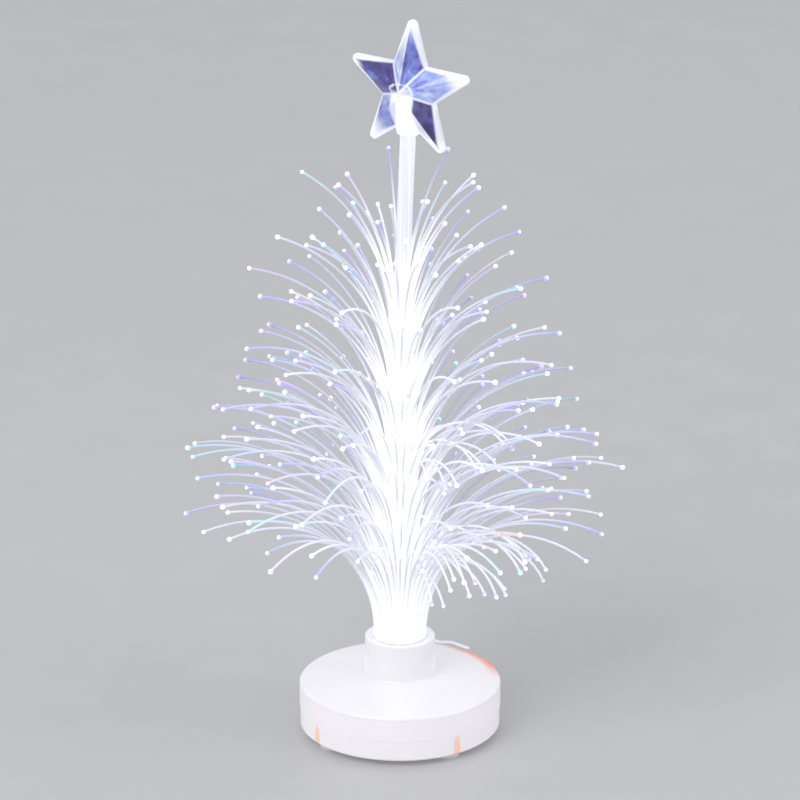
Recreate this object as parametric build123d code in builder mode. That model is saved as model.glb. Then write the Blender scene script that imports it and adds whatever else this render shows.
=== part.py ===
from build123d import *
import math
import os

# Table-top fibre optic Christmas tree: a round two-part base with a coin cell,
# a slide switch and one lamp, a neck that holds a bundle of clear fibres in
# rings, a clear rod in the middle of the bundle and a faceted star on the rod.
# Lengths are millimetres, +Z is up, the star faces -Y, and the origin is the
# centre of the base on the surface that the feet stand on.

os.makedirs("parts", exist_ok=True)

# Base shells, which are as wide and high as the coin cell and the board in them need
wall = 1.2
dome_wall = 1.6
foot_height = 1.0
lower_wall_height = 3.6
dome_rise = 1.6
dome_shoulder_width = 6.0
dome_shoulder_rise = 1.15
rim_chamfer = 0.35
neck_diameter = 11.8
neck_height = 6.6
neck_wall = 0.85
neck_chamfer = 0.4
lower_shell_step = 0.14
lip_height = 1.0
lip_wall = 0.7
lip_play = 0.05

# Screws that join the shells, their bosses and the feet around their heads
boss_count = 4
boss_diameter = 3.6
boss_wall_gap = 0.35
boss_turn = 45.0
inner_turn = 22.5
foot_wall = 0.7
screw_diameter = 1.7
screw_play = 0.05
screw_head_diameter = 3.0
screw_head_height = 0.8
screw_head_play = 0.1
screw_thread_length = 6.2
drive_slot_width = 0.5
drive_slot_depth = 0.4
pilot_spare = 0.3
small_round_sides = 16

# Battery hatch that turns in the floor
hatch_cell_margin = 0.55
hatch_play = 0.05
hatch_boss_gap = 0.15
hatch_lug_reach = 0.95
hatch_lug_height = 0.6
hatch_lug_gap = 0.06
hatch_lug_angle = 26.0
hatch_lug_count = 2
hatch_notch_angle = 30.0
hatch_notch_play = 0.15
coin_slot_length = 12.0
coin_slot_width = 1.6
coin_slot_depth = 0.6

# Coin cell and its two contacts
cell_diameter = 20.0
cell_height = 3.2
cell_cap_inset = 1.2
cell_cap_height = 0.35
cell_seat_gap = 0.05
contact_thickness = 0.2
contact_touch_gap = 0.03
leaf_width = 2.6
leaf_length = 9.0
leaf_pad_length = 2.6
leaf_cap_margin = 3.6
clip_width = 3.2
clip_foot_length = 1.1
clip_drop = 2.2

# Circuit board, its screws, and the chip that changes the colours
board_boss_gap = 0.5
board_thickness = 0.8
board_cell_gap = 0.95
board_headroom = 1.6
board_tab_width = 6.6
board_tab_gap = 0.15
board_screw_inset = 1.9
board_screw_diameter = 1.3
board_screw_head_diameter = 2.3
board_screw_head_height = 0.6
board_post_diameter = 3.0
chip_length = 3.6
chip_width = 2.6
chip_height = 1.1
chip_collar_gap = 1.0
chip_leg_length = 0.5
chip_leg_width = 0.35
chip_leg_height = 0.25
chip_leg_count = 4
chip_leg_pitch = 0.9

# Lamp under the fibre bundle
lamp_diameter = 3.0
lamp_flange_diameter = 3.8
lamp_flange_height = 0.9
lamp_lift = 0.2
lamp_height = 5.3
lamp_nose_height = 1.5
lamp_nose_knee_share = 0.7
lamp_lead_pitch = 1.27
lamp_lead_width = 0.45
lamp_lead_tail = 0.45
lamp_play = 0.08
collar_play = 0.15
collar_top_gap = 0.1

# Slide switch under the board's tab, worked from below
switch_wall_gap = 0.45
switch_length = 6.0
switch_width = 2.4
switch_height = 2.8
switch_wall = 0.35
switch_play = 0.06
switch_travel = 1.8
switch_block_length = 2.6
switch_block_height = 1.0
switch_knob_length = 1.4
switch_knob_width = 1.1
switch_knob_drop = 0.6
switch_knob_grooves = 2
switch_groove_width = 0.2
switch_slot_play = 0.15
switch_pin_count = 3
switch_pin_pitch = 1.8
switch_pin_width = 0.5
switch_floor_gap = 0.05

# Ferrule that holds the fibre bundle in the neck
ferrule_play = 0.05
ferrule_wall = 0.5
ferrule_drop = 0.2

# Clear rod in the middle of the bundle
rod_diameter = 2.6
rod_lean_start = 72.0
rod_lean_length = 40.4
rod_lean_angle = 2.3
rod_lean_direction = 33.0
rod_end_past_centre = 0.8

# Faceted star on the rod
star_radius = 11.6
star_valley_share = 0.45
star_points = 5
star_rim = 1.0
star_half_depth = 3.4
star_tip_radius = 0.7
star_tip_angles = (-54, 0, 54)
socket_length = 7.5
socket_diameter = 4.4
socket_mouth_diameter = 3.7
socket_mouth_length = 1.2
socket_play = 0.05

# Fibres: eight rings, from the outermost ring, which bends out lowest, inwards
spray_radius = 35.0
spray_trunk_height = 58.5
fibre_diameter = 0.42
fibre_sides = 3
ring_sides = 24
fibre_ring_play = 0.02
fibre_ring_gap = 0.02
rod_ring_gap = 0.15
pot_gap = 0.1
fibre_bury = 1.2
fibre_counts = (50, 48, 46, 42, 36, 32, 26, 20)
leave_shares = (0.005, 0.04, 0.16, 0.31, 0.46, 0.62, 0.78, 0.93)
leave_spread_shares = (0.02, 0.08, 0.075, 0.07, 0.07, 0.07, 0.065, 0.05)
bend_radius_shares = (0.66, 0.735, 0.74, 0.68, 0.685, 0.71, 0.755, 0.90)
end_angles = (108.0, 102.0, 98.0, 95.0, 88.0, 80.0, 68.0, 55.0)
end_angle_spread = 30.0
end_angle_over_share = 0.2
heading_spread_share = 0.8
fibre_span_counts = (3, 3, 3, 3, 3, 2, 2, 2)
golden_share = 0.6180340
plastic_share = 0.7548777
third_share = 0.5698403

# What every cut runs past its faces, and how close two sizes count as the same
overrun = 1.0
same = 0.01

# Places across the base that follow from the sizes above, from the coin cell outwards
cell_radius = cell_diameter / 2
cell_cap_radius = cell_radius - cell_cap_inset
leaf_offset = cell_cap_radius - leaf_cap_margin
hatch_radius = cell_radius + hatch_cell_margin
hatch_lug_radius = hatch_radius + hatch_lug_reach
notch_radius = hatch_lug_radius + hatch_notch_play
boss_circle_radius = notch_radius + hatch_boss_gap + boss_diameter / 2
lip_radius = boss_circle_radius + boss_diameter / 2 + boss_wall_gap
lip_inner_radius = lip_radius - lip_wall
upper_inner_radius = lip_radius + lip_play
base_radius = upper_inner_radius + wall
lower_radius = base_radius - lower_shell_step
board_radius = boss_circle_radius - boss_diameter / 2 - board_boss_gap
board_tab_reach = lip_inner_radius - board_tab_gap
board_screw_circle_radius = board_radius - board_screw_inset
switch_offset = lip_inner_radius - switch_wall_gap - switch_width / 2
neck_radius = neck_diameter / 2
neck_bore_radius = neck_radius - neck_wall
collar_radius = neck_bore_radius - collar_play
chip_offset = collar_radius + chip_collar_gap + chip_width / 2
screw_radius = screw_diameter / 2
foot_radius = screw_head_diameter / 2 + screw_head_play + foot_wall

# Heights that follow from the sizes above
floor_bottom = foot_height
floor_top = floor_bottom + wall
seam = floor_bottom + lower_wall_height
lip_top = seam + lip_height
screw_head_seat = floor_bottom
screw_end = screw_head_seat + screw_thread_length
cell_bottom = floor_top + cell_seat_gap
cell_top = cell_bottom + cell_height
board_height = cell_top + board_cell_gap
board_top = board_height + board_thickness
dome_inner_top = board_top + board_headroom
dome_top = dome_inner_top + dome_wall
rim_top = dome_top - dome_rise
neck_top = dome_top + neck_height
lamp_bottom = board_top + lamp_lift
lamp_top = lamp_bottom + lamp_height
collar_top = lamp_top + collar_top_gap
ferrule_radius = neck_bore_radius - ferrule_play
bundle_radius = ferrule_radius - ferrule_wall
ferrule_top = neck_top - ferrule_drop
pot_bottom = collar_top + pot_gap
switch_bottom = floor_top + switch_floor_gap
rod_radius = rod_diameter / 2
ring_start = rod_radius + rod_ring_gap
ring_count = len(fibre_counts)
ring_pitch = (bundle_radius - ring_start + fibre_ring_gap) / ring_count
ring_flat_share = math.cos(math.pi / ring_sides)
fibre_radius = fibre_diameter / 2
fibre_inset = fibre_radius * (1 - math.cos(math.pi / fibre_sides)) / 2
inner = Plane.XY.rotated((0, 0, inner_turn))


def circles_at(part, radius, height):
    """The round edges of a part that have this radius and lie at this height."""
    rounds = part.edges().filter_by(GeomType.CIRCLE)
    return rounds.filter_by(
        lambda edge: abs(edge.radius - radius) < same and abs(edge.arc_center.Z - height) < same
    )


def corner_at(sketch, across, height):
    """The corner of a section at this distance across and this height."""
    return sketch.vertices().filter_by(
        lambda corner: abs(corner.X - across) < same and abs(corner.Y - height) < same
    )


def at_inner(height):
    """The level plane at a height, turned so that its axes run between the bosses."""
    return inner.offset(height)


def sector_start(middle, sweep, lug):
    """The angle at which a lug's or notch's sector starts."""
    return middle - sweep / 2 + lug * 360 / hatch_lug_count


def sector_sides(radius, middle, sweep, lug):
    """The two straight sides of a lug's or notch's sector, through the hatch's centre."""
    start = math.radians(sector_start(middle, sweep, lug))
    end = start + math.radians(sweep)
    first = (radius * math.cos(start), radius * math.sin(start))
    last = (radius * math.cos(end), radius * math.sin(end))
    return first, (0, 0), last


def upright(outwards, origin=(0, 0, 0)):
    """The standing plane through a point, with +X outwards and +Y up."""
    return Plane(origin=origin, x_dir=outwards, z_dir=outwards.cross(Vector(0, 0, 1)))


def finish(part, label):
    """Label a finished piece and write it to its own file."""
    part.label = label
    export_step(part, f"parts/{label}.step")
    print(label, "solids", len(part.solids()), "volume", round(part.volume, 3))


# Upper shell: wall, gently domed top and neck, with the bosses and posts inside
shoulder_radius = base_radius - dome_shoulder_width
shoulder_top = rim_top + dome_shoulder_rise
with BuildPart() as upper_shell:
    with BuildSketch(Plane.XZ) as shell_section:
        with BuildLine():
            Line((upper_inner_radius, seam), (base_radius, seam))
            Line((base_radius, seam), (base_radius, rim_top))
            Line((base_radius, rim_top), (shoulder_radius, shoulder_top))
            Line((shoulder_radius, shoulder_top), (neck_radius, dome_top))
            Line((neck_radius, dome_top), (neck_radius, neck_top))
            Line((neck_radius, neck_top), (neck_bore_radius, neck_top))
            Line((neck_bore_radius, neck_top), (neck_bore_radius, dome_inner_top))
            Line((neck_bore_radius, dome_inner_top), (board_radius, dome_inner_top))
            Line((board_radius, dome_inner_top), (board_radius, rim_top - wall))
            Line((board_radius, rim_top - wall), (upper_inner_radius, rim_top - wall))
            Line((upper_inner_radius, rim_top - wall), (upper_inner_radius, seam))
        make_face()
        chamfer(corner_at(shell_section, base_radius, rim_top), rim_chamfer)
        chamfer(corner_at(shell_section, neck_radius, dome_top), neck_chamfer)
    revolve(axis=Axis.Z)
    with BuildSketch(at_inner(lip_top)):
        with PolarLocations(boss_circle_radius, boss_count, start_angle=boss_turn):
            RegularPolygon(boss_diameter / 2, small_round_sides)
    extrude(until=Until.NEXT)
    with BuildSketch(at_inner(board_top)):
        with PolarLocations(board_screw_circle_radius, 2):
            RegularPolygon(board_post_diameter / 2, small_round_sides)
    extrude(until=Until.NEXT)
    with BuildSketch(at_inner(lip_top)):
        with PolarLocations(boss_circle_radius, boss_count, start_angle=boss_turn):
            RegularPolygon(screw_radius + screw_play, small_round_sides)
    extrude(amount=screw_end + pilot_spare - lip_top, mode=Mode.SUBTRACT)
    with BuildSketch(at_inner(board_top)):
        with PolarLocations(board_screw_circle_radius, 2):
            RegularPolygon(board_screw_diameter / 2 + screw_play, small_round_sides)
    extrude(amount=dome_inner_top - board_top, mode=Mode.SUBTRACT)
finish(upper_shell.part, "upper_shell")

# Lower shell: floor with the hatch opening, wall with its lip, bosses on feet
with BuildPart() as lower_shell:
    with BuildSketch(at_inner(floor_bottom)):
        Circle(lower_radius)
    extrude(amount=lower_wall_height)
    with BuildSketch(at_inner(seam)):
        Circle(lip_radius)
    extrude(amount=lip_height)
    with BuildSketch(at_inner(floor_top)):
        Circle(lip_inner_radius)
    extrude(amount=lip_top - floor_top, mode=Mode.SUBTRACT)
    chamfer(circles_at(lower_shell, lower_radius, floor_bottom), rim_chamfer)
    with BuildSketch(at_inner(lip_top)):
        with PolarLocations(boss_circle_radius, boss_count, start_angle=boss_turn):
            RegularPolygon(boss_diameter / 2, small_round_sides)
    extrude(amount=-(lip_top - floor_bottom))
    with BuildSketch(at_inner(0)):
        with PolarLocations(boss_circle_radius, boss_count, start_angle=boss_turn):
            RegularPolygon(foot_radius, small_round_sides)
    extrude(amount=floor_bottom)
    with BuildSketch(at_inner(0)):
        with PolarLocations(boss_circle_radius, boss_count, start_angle=boss_turn):
            RegularPolygon(screw_head_diameter / 2 + screw_head_play, small_round_sides)
    extrude(amount=screw_head_seat, mode=Mode.SUBTRACT)
    with BuildSketch(at_inner(0)):
        with PolarLocations(boss_circle_radius, boss_count, start_angle=boss_turn):
            RegularPolygon(screw_radius + screw_play, small_round_sides)
    extrude(amount=lip_top + overrun, mode=Mode.SUBTRACT)
    with BuildSketch(at_inner(floor_bottom)):
        Circle(hatch_radius + hatch_play)
    extrude(amount=wall, mode=Mode.SUBTRACT)
    notch_sweep = hatch_lug_angle + math.degrees(2 * hatch_notch_play / hatch_lug_radius)
    with BuildSketch(at_inner(floor_bottom)):
        for lug in range(hatch_lug_count):
            with BuildLine():
                Polyline(*sector_sides(notch_radius, hatch_notch_angle, notch_sweep, lug))
                notch_start = sector_start(hatch_notch_angle, notch_sweep, lug)
                CenterArc((0, 0), notch_radius, notch_start, notch_sweep)
            make_face()
    extrude(amount=wall, mode=Mode.SUBTRACT)
    with BuildSketch(at_inner(floor_bottom)):
        with Locations((0, switch_offset)):
            Rectangle(
                switch_knob_length + switch_travel + 2 * switch_slot_play,
                switch_knob_width + 2 * switch_slot_play,
            )
    extrude(amount=wall, mode=Mode.SUBTRACT)
finish(lower_shell.part, "lower_shell")

# Shell screws: slotted heads in the feet, threads up into the upper bosses
with BuildPart() as shell_screws:
    with BuildSketch(at_inner(screw_head_seat - screw_head_height)):
        with PolarLocations(boss_circle_radius, boss_count, start_angle=boss_turn):
            RegularPolygon(screw_head_diameter / 2, small_round_sides)
    extrude(amount=screw_head_height)
    with BuildSketch(at_inner(screw_head_seat)):
        with PolarLocations(boss_circle_radius, boss_count, start_angle=boss_turn):
            RegularPolygon(screw_radius, small_round_sides)
    extrude(amount=screw_thread_length)
    with BuildSketch(at_inner(screw_head_seat - screw_head_height)):
        with PolarLocations(boss_circle_radius, boss_count, start_angle=boss_turn):
            Rectangle(screw_head_diameter, drive_slot_width)
    extrude(amount=drive_slot_depth, mode=Mode.SUBTRACT)
finish(shell_screws.part, "shell_screws")

# Battery hatch: a plate with a coin slot below, and two lugs above that also centre the cell
with BuildPart() as battery_hatch:
    with BuildSketch(at_inner(floor_bottom)):
        Circle(hatch_radius)
    extrude(amount=wall)
    with BuildSketch(at_inner(floor_top)):
        for lug in range(hatch_lug_count):
            with BuildLine():
                Polyline(*sector_sides(hatch_radius, 0, hatch_lug_angle, lug))
                CenterArc((0, 0), hatch_radius, sector_start(0, hatch_lug_angle, lug), hatch_lug_angle)
            make_face()
        Circle(cell_radius + cell_seat_gap, mode=Mode.SUBTRACT)
    extrude(amount=hatch_lug_gap)
    with BuildSketch(at_inner(floor_top + hatch_lug_gap)):
        for lug in range(hatch_lug_count):
            with BuildLine():
                Polyline(*sector_sides(hatch_lug_radius, 0, hatch_lug_angle, lug))
                CenterArc((0, 0), hatch_lug_radius, sector_start(0, hatch_lug_angle, lug), hatch_lug_angle)
            make_face()
        Circle(cell_radius + cell_seat_gap, mode=Mode.SUBTRACT)
    extrude(amount=hatch_lug_height)
    with BuildSketch(at_inner(floor_bottom)):
        SlotOverall(coin_slot_length, coin_slot_width)
    extrude(amount=coin_slot_depth, mode=Mode.SUBTRACT)
finish(battery_hatch.part, "battery_hatch")

# Coin cell: the can, and the smaller cap on its upper side
with BuildPart() as coin_cell:
    with BuildSketch(Plane.XY.offset(cell_bottom)):
        Circle(cell_radius)
    extrude(amount=cell_height - cell_cap_height)
    with BuildSketch(Plane.XY.offset(cell_top - cell_cap_height)):
        Circle(cell_cap_radius)
    extrude(amount=cell_cap_height)
finish(coin_cell.part, "coin_cell")

# Negative contact: a bent leaf under the board whose end presses on the cell's cap
leaf_top = board_height
leaf_touch = cell_top + contact_touch_gap
leaf_start = -leaf_length / 2
leaf_bend = leaf_start + leaf_pad_length
leaf_knee = leaf_length / 2 - leaf_pad_length / 2
with BuildPart() as negative_contact:
    with BuildSketch(upright(inner.x_dir, origin=inner.y_dir * -leaf_offset)):
        with BuildLine():
            Polyline(
                (leaf_start, leaf_top - contact_thickness / 2),
                (leaf_bend, leaf_top - contact_thickness / 2),
                (leaf_knee, leaf_touch + contact_thickness / 2),
                (leaf_length / 2, leaf_touch + contact_thickness * 2),
            )
            offset(amount=contact_thickness / 2, kind=Kind.INTERSECTION)
        make_face()
    extrude(amount=leaf_width / 2, both=True)
finish(negative_contact.part, "negative_contact")

# Positive contact: a strip from the board down along the cell's side
clip_inner = cell_radius + contact_touch_gap
with BuildPart() as positive_contact:
    with BuildSketch(upright(-inner.y_dir)):
        with BuildLine():
            Polyline(
                (clip_inner, board_height - clip_drop),
                (clip_inner, board_height),
                (clip_inner + clip_foot_length, board_height),
                (clip_inner + clip_foot_length, board_height - contact_thickness),
                (clip_inner + contact_thickness, board_height - contact_thickness),
                (clip_inner + contact_thickness, board_height - clip_drop),
                close=True,
            )
        make_face()
    extrude(amount=clip_width / 2, both=True)
finish(positive_contact.part, "positive_contact")

# Circuit board: a disc with a tab over the switch and holes for screws, leads and pins
with BuildPart() as circuit_board:
    with BuildSketch(at_inner(board_height)):
        Circle(board_radius)
        with Locations((0, board_tab_reach / 2)):
            Rectangle(board_tab_width, board_tab_reach)
        with PolarLocations(board_screw_circle_radius, 2):
            RegularPolygon(
                board_screw_diameter / 2 + screw_play, small_round_sides, mode=Mode.SUBTRACT
            )
        with GridLocations(2 * lamp_lead_pitch, 0, 2, 1):
            Rectangle(
                lamp_lead_width + 2 * screw_play, lamp_lead_width + 2 * screw_play, mode=Mode.SUBTRACT
            )
        with Locations((0, switch_offset)):
            with GridLocations(switch_pin_pitch, 0, switch_pin_count, 1):
                Rectangle(
                    switch_pin_width + 2 * screw_play,
                    switch_pin_width + 2 * screw_play,
                    mode=Mode.SUBTRACT,
                )
    extrude(amount=board_thickness)
finish(circuit_board.part, "circuit_board")

# Board screws: heads under the board, threads up into the posts of the upper shell
with BuildPart() as board_screws:
    with BuildSketch(at_inner(board_height)):
        with PolarLocations(board_screw_circle_radius, 2):
            RegularPolygon(board_screw_head_diameter / 2, small_round_sides)
    extrude(amount=-board_screw_head_height)
    with BuildSketch(at_inner(board_height)):
        with PolarLocations(board_screw_circle_radius, 2):
            RegularPolygon(board_screw_diameter / 2, small_round_sides)
    extrude(amount=dome_inner_top - board_height - pilot_spare)
    with BuildSketch(at_inner(board_height - board_screw_head_height)):
        with PolarLocations(board_screw_circle_radius, 2):
            Rectangle(board_screw_head_diameter, drive_slot_width)
    extrude(amount=board_screw_head_height / 2, mode=Mode.SUBTRACT)
finish(board_screws.part, "board_screws")

# Colour chip: moulded body with a row of legs down each side
with BuildPart() as colour_chip:
    with BuildSketch(at_inner(board_top + chip_leg_height / 2)):
        with Locations((0, chip_offset)):
            Rectangle(chip_length, chip_width)
    extrude(amount=chip_height)
    with BuildSketch(at_inner(board_top)):
        with Locations((0, chip_offset)):
            with GridLocations(chip_leg_pitch, chip_width, chip_leg_count, 2):
                Rectangle(chip_leg_width, 2 * chip_leg_length)
    extrude(amount=chip_leg_height)
finish(colour_chip.part, "colour_chip")

# Lamp: flange, barrel and blunt nose
lamp_nose_bottom = lamp_top - lamp_nose_height
lamp_nose_knee = (
    lamp_diameter / 2 * lamp_nose_knee_share,
    lamp_nose_bottom + lamp_nose_height * lamp_nose_knee_share,
)
with BuildPart() as lamp:
    with BuildSketch(Plane.XY.offset(lamp_bottom)):
        Circle(lamp_flange_diameter / 2)
    extrude(amount=lamp_flange_height)
    with BuildSketch(Plane.XZ):
        with BuildLine():
            Line((0, lamp_bottom), (lamp_diameter / 2, lamp_bottom))
            Line((lamp_diameter / 2, lamp_bottom), (lamp_diameter / 2, lamp_nose_bottom))
            Line((lamp_diameter / 2, lamp_nose_bottom), lamp_nose_knee)
            Line(lamp_nose_knee, (0, lamp_top))
            Line((0, lamp_top), (0, lamp_bottom))
        make_face()
    revolve(axis=Axis.Z)
finish(lamp.part, "lamp")

# Lamp leads: two square pins from the lamp down through the board
lead_bottom = board_height - lamp_lead_tail
with BuildPart() as lamp_leads:
    with BuildSketch(at_inner(lead_bottom)):
        with GridLocations(2 * lamp_lead_pitch, 0, 2, 1):
            Rectangle(lamp_lead_width, lamp_lead_width)
    extrude(amount=lamp_bottom - lead_bottom)
finish(lamp_leads.part, "lamp_leads")

# Lamp collar: centres the lamp in the neck and carries the ferrule
with BuildPart() as lamp_collar:
    with BuildSketch(Plane.XY.offset(board_top)):
        Circle(collar_radius)
        Circle(lamp_flange_diameter / 2 + lamp_play, mode=Mode.SUBTRACT)
    extrude(amount=collar_top - board_top)
finish(lamp_collar.part, "lamp_collar")

# Switch housing: a case open below, with its pins soldered through the board's tab
with BuildPart() as switch_housing:
    with BuildSketch(at_inner(switch_bottom)):
        with Locations((0, switch_offset)):
            Rectangle(switch_length, switch_width)
    extrude(amount=switch_height)
    with BuildSketch(at_inner(switch_bottom)):
        with Locations((0, switch_offset)):
            Rectangle(switch_length - 2 * switch_wall, switch_width - 2 * switch_wall)
    extrude(amount=switch_height - switch_wall, mode=Mode.SUBTRACT)
    with BuildSketch(at_inner(switch_bottom + switch_height)):
        with Locations((0, switch_offset)):
            with GridLocations(switch_pin_pitch, 0, switch_pin_count, 1):
                Rectangle(switch_pin_width, switch_pin_width)
    extrude(amount=board_top - switch_bottom - switch_height)
finish(switch_housing.part, "switch_housing")

# Switch slider: a block in the case and a grooved knob through the floor, shown switched on
slider_start = -switch_travel / 2
slider_block_bottom = switch_bottom + switch_play
slider_knob_bottom = floor_bottom - switch_knob_drop
with BuildPart() as switch_slider:
    with BuildSketch(at_inner(slider_block_bottom)):
        with Locations((slider_start, switch_offset)):
            Rectangle(switch_block_length, switch_width - 2 * switch_wall - 2 * switch_play)
    extrude(amount=switch_block_height)
    with BuildSketch(at_inner(slider_knob_bottom)):
        with Locations((slider_start, switch_offset)):
            Rectangle(switch_knob_length, switch_knob_width)
    extrude(amount=slider_block_bottom - slider_knob_bottom)
    with BuildSketch(at_inner(slider_knob_bottom)):
        with Locations((slider_start, switch_offset)):
            with GridLocations(switch_knob_length / 2, 0, switch_knob_grooves, 1):
                Rectangle(switch_groove_width, switch_knob_width)
    extrude(amount=switch_groove_width, mode=Mode.SUBTRACT)
finish(switch_slider.part, "switch_slider")

# Ferrule: the sleeve in the neck that grips the fibre bundle
with BuildPart() as bundle_ferrule:
    with BuildSketch(Plane.XY.offset(collar_top)):
        Circle(ferrule_radius)
        Circle(bundle_radius + fibre_ring_play, mode=Mode.SUBTRACT)
    extrude(amount=ferrule_top - collar_top)
finish(bundle_ferrule.part, "bundle_ferrule")

# Centre rod: upright inside the bundle, then leaning a little, with its end in the star
lean_side = Vector(1, 0, 0).rotate(Axis.Z, rod_lean_direction)
with BuildPart() as centre_rod:
    with BuildLine(upright(lean_side)) as rod_path:
        rod_straight = Line((0, pot_bottom), (0, rod_lean_start))
        rod_lean = PolarLine(
            rod_straight @ 1, rod_lean_length + rod_end_past_centre, 90 - rod_lean_angle
        )
    with BuildSketch(Plane.XY.offset(pot_bottom)):
        Circle(rod_radius)
    sweep(path=rod_path.wires()[0], transition=Transition.RIGHT)
finish(centre_rod.part, "centre_rod")

# Star: a rim with rounded tips, a faceted pyramid on each side and a socket for the rod
rod_up = rod_lean % 1
star_centre = (rod_lean @ 0) + rod_up * rod_lean_length
star_facing = Vector(0, -1, 0)
star_normal = (star_facing - rod_up * star_facing.dot(rod_up)).normalized()
star_plane = Plane(origin=star_centre, x_dir=rod_up.cross(star_normal), z_dir=star_normal)
socket_plane = Plane(origin=star_centre - rod_up * socket_length, z_dir=rod_up)
star_valley = star_radius * star_valley_share
star_step = 180 / star_points


def star_outline(plane):
    """The star's outline on a plane, with blunt rounded tips and sharp valleys."""
    corners = []
    for point in range(star_points):
        tip_angle = 90 + point * 2 * star_step
        tip_centre = Vector(star_radius - star_tip_radius, 0).rotate(Axis.Z, tip_angle)
        for turn in star_tip_angles:
            corners.append(tip_centre + Vector(star_tip_radius, 0).rotate(Axis.Z, tip_angle + turn))
        corners.append(Vector(star_valley, 0).rotate(Axis.Z, tip_angle + star_step))
    with BuildSketch(plane) as outline:
        with BuildLine():
            Polyline(*corners, close=True)
        make_face()
    return outline.sketch


with BuildPart() as star:
    for side in (1, -1):
        face_plane = star_plane.offset(side * star_rim / 2)
        apex = star_centre + star_normal * side * star_half_depth
        loft(sections=[star_outline(face_plane), Vertex(*apex)], ruled=True)
    extrude(star_outline(star_plane), amount=star_rim / 2, both=True)
    with BuildSketch(socket_plane.offset(socket_mouth_length)):
        Circle(socket_diameter / 2)
    extrude(amount=socket_length - socket_mouth_length)
    with BuildSketch(socket_plane):
        Circle(socket_mouth_diameter / 2)
    with BuildSketch(socket_plane.offset(socket_mouth_length)):
        Circle(socket_diameter / 2)
    loft()
    with BuildSketch(socket_plane):
        Circle(rod_radius + socket_play)
    extrude(amount=socket_length + rod_end_past_centre + socket_play, mode=Mode.SUBTRACT)
finish(star.part, "star")


def share_of(index, step_share, offset_share):
    """An even, repeatable scatter from 0 to 1."""
    return (index * step_share + offset_share) % 1


def fibre_points(leave_height, bend_radius, end_angle, spans):
    """One fibre's middle line: straight up from the pot, then an arc outwards in short spans."""
    points = [(0, neck_top - fibre_bury)]
    for span in range(spans + 1):
        turn = math.radians(end_angle * span / spans)
        out = bend_radius * (1 - math.cos(turn))
        points.append((out, leave_height + bend_radius * math.sin(turn)))
    return points


# Fibre tiers: each ring is potted in the neck and its fibres bend out above the ring outside it
for tier, fibre_count in enumerate(fibre_counts):
    ring_outer = bundle_radius - tier * ring_pitch
    ring_inner = ring_outer - ring_pitch + fibre_ring_gap
    root_radius = (ring_outer * ring_flat_share + ring_inner) / 2 - fibre_inset
    heading_spread = heading_spread_share * 180 / fibre_count
    with BuildPart() as fibre_tier:
        with BuildSketch(Plane.XY.offset(pot_bottom)):
            RegularPolygon(ring_outer, ring_sides)
            RegularPolygon(ring_inner, ring_sides, mode=Mode.SUBTRACT)
        extrude(amount=neck_top - pot_bottom)
        fibres = []
        for fibre in range(fibre_count):
            azimuth = (fibre + share_of(tier, golden_share, 0)) * 360 / fibre_count
            heading = azimuth + heading_spread * (share_of(fibre, golden_share, tier * third_share) - 1 / 2)
            leave_share = share_of(fibre, plastic_share, tier * golden_share)
            turn_share = share_of(fibre, third_share, tier * plastic_share)
            root = Vector(root_radius, 0, 0).rotate(Axis.Z, azimuth)
            outwards = Vector(1, 0, 0).rotate(Axis.Z, heading)
            points = fibre_points(
                neck_top
                + spray_trunk_height * (leave_shares[tier] + leave_spread_shares[tier] * leave_share),
                spray_radius * bend_radius_shares[tier],
                end_angles[tier] - end_angle_spread * (turn_share - end_angle_over_share),
                fibre_span_counts[tier],
            )
            with BuildLine(upright(outwards, origin=root)) as fibre_line:
                Polyline(*points)
            with BuildSketch(Plane(origin=fibre_line.line @ 0, x_dir=outwards), mode=Mode.PRIVATE) as end:
                RegularPolygon(fibre_radius, fibre_sides)
            fibres.append(
                sweep(end.sketch, path=fibre_line.line, transition=Transition.RIGHT, mode=Mode.PRIVATE)
            )
        add(fibres)
    finish(fibre_tier.part, f"fibre_tier_{tier + 1}")
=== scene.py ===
import math

import bmesh
import bpy
import numpy as np
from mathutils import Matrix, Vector


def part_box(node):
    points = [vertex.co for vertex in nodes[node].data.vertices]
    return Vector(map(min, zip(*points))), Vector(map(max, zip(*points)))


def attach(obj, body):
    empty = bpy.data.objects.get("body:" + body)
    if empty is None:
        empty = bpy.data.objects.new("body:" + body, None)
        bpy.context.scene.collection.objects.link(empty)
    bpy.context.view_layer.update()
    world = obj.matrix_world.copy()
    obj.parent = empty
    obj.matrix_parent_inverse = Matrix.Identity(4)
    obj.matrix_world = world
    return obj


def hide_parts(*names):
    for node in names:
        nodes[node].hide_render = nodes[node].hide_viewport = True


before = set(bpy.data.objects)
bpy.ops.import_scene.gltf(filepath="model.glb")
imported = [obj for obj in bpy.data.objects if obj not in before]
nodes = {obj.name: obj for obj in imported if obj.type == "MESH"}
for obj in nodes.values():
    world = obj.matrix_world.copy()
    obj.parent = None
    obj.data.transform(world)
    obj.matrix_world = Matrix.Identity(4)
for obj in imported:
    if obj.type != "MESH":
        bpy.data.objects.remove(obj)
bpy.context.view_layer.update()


def box_size(node):
    """The lowest corner, the highest corner and the size of a CAD node."""
    low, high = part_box(node)
    return low, high, high - low


# Sizes are in metres and angles in degrees, unless they are turned into radians. The frame gives the sizes
# of the solids that a new piece has to meet
MM = 0.001
shell_low, shell_high, shell_size = box_size("upper_shell")
ferrule_size = box_size("bundle_ferrule")[2]
rod_low = box_size("centre_rod")[0]
UP = Vector((0, 0, 1))
WHITE = (1.0, 1.0, 1.0)

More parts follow.
